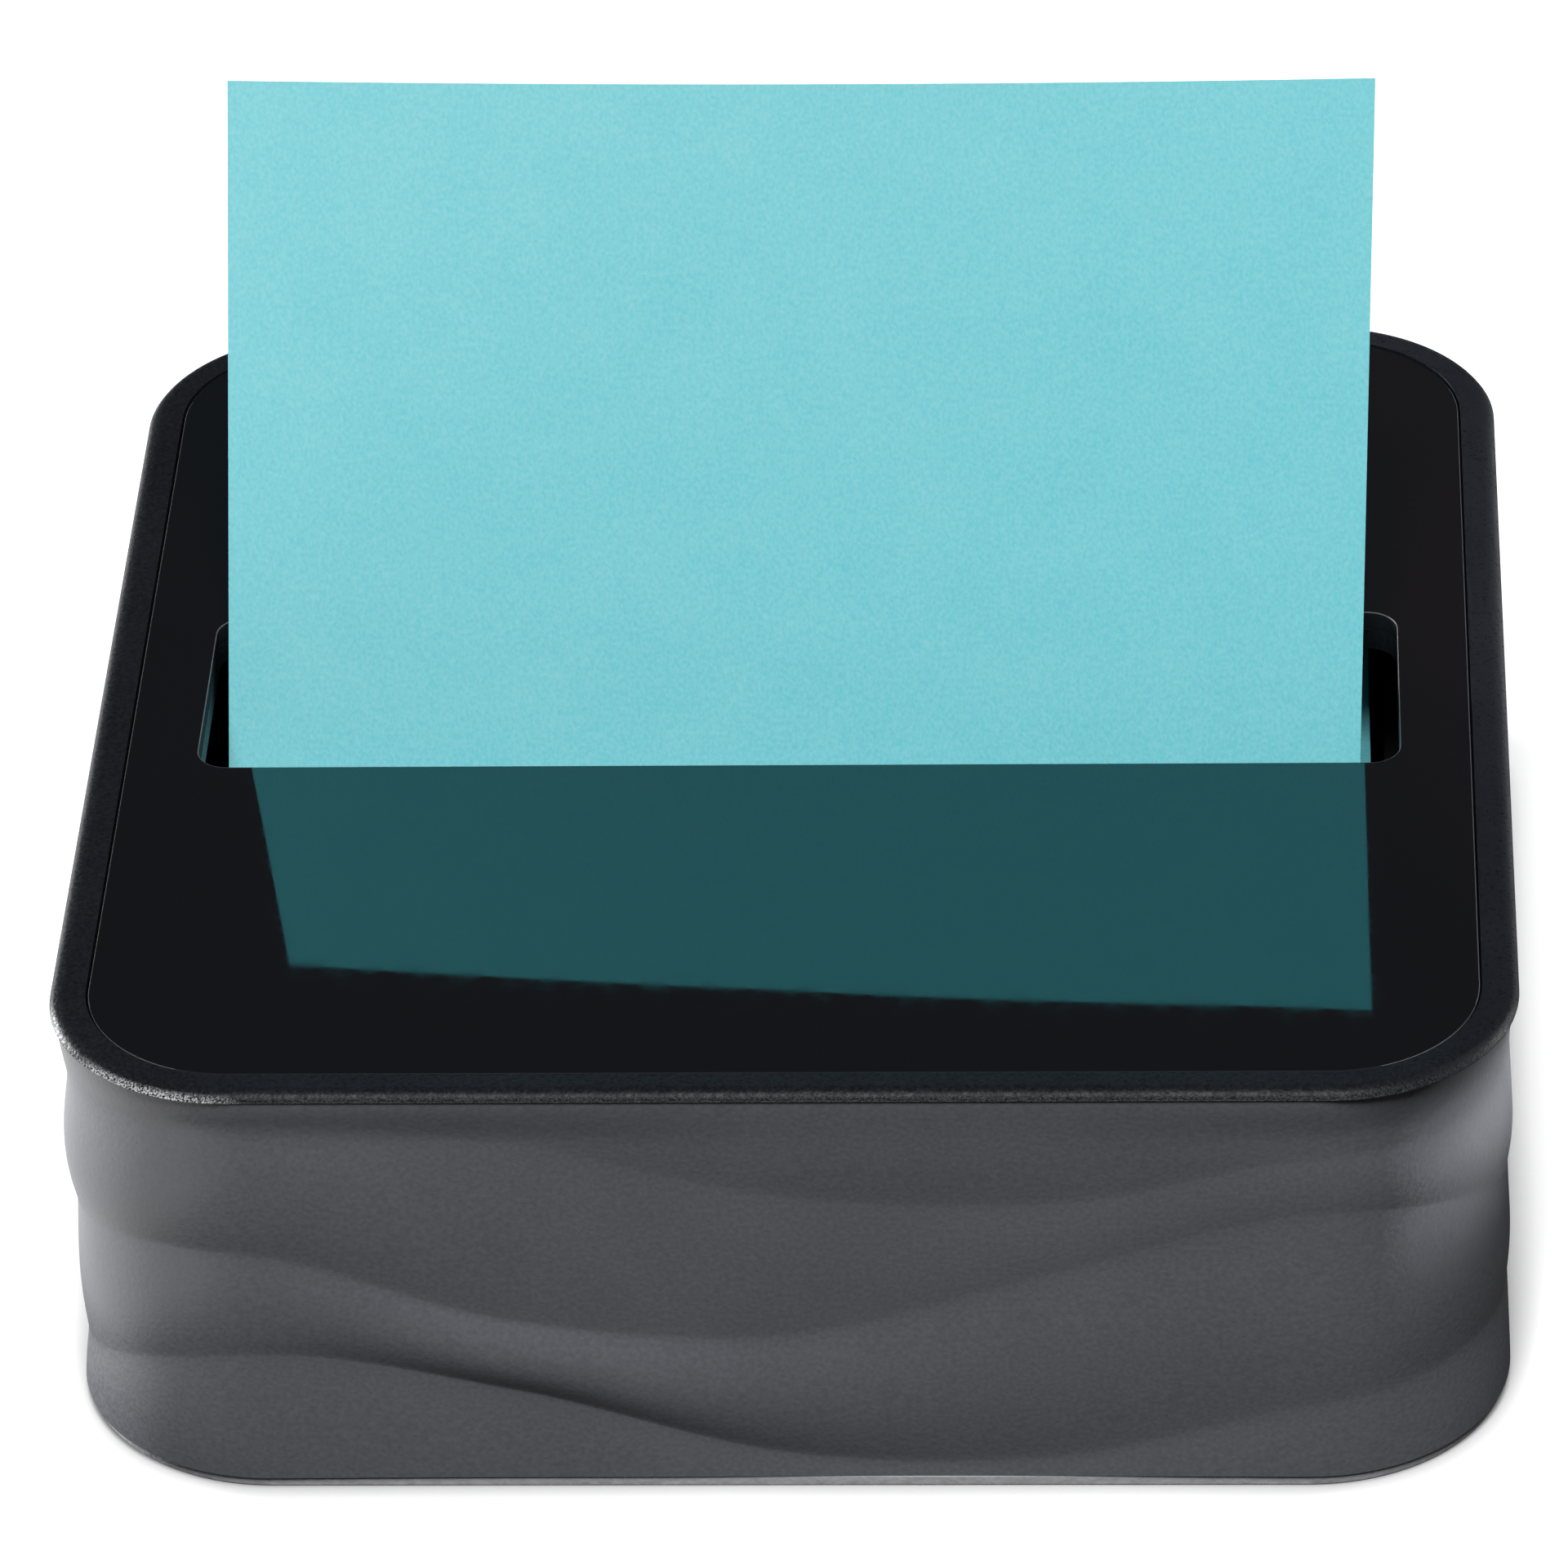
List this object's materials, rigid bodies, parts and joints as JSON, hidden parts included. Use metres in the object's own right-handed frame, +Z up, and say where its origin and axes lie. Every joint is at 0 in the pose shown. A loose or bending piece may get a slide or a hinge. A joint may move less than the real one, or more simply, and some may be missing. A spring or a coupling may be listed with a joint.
{
  "type": "sticky note dispenser",
  "caption": "Weighted desk dispenser with a wavy body and a glossy slotted cover, from which square pop-up sticky notes are pulled.",
  "frame": {"origin": "middle of the underside of the non-slip sheet, on the table", "axes": "+Z up, -Y towards the user, +X to the user's right"},
  "size_m": [0.0938, 0.0938, 0.0685],
  "materials": {
    "shell_grey": "satin",
    "cover_black": "satin",
    "panel_black": "mirror gloss",
    "tray_black": "fine matt",
    "ballast_steel": "rolled",
    "base_black": "fine matt",
    "grip_grey": "soft matt",
    "screw_steel": "zinc",
    "note_aqua": "uncoated"
  },
  "bodies": {
    "root": {"outer_shell": "shell_grey", "top_cover": "cover_black", "gloss_panel": "panel_black", "note_tray": "tray_black", "ballast_plate": "ballast_steel", "base_plate": "base_black", "grip_pad": "grip_grey", "base_screw_1": "screw_steel", "base_screw_2": "screw_steel", "base_screw_3": "screw_steel", "base_screw_4": "screw_steel", "note_pad": "note_aqua", "top_note": "note_aqua"}
  },
  "joints": []
}
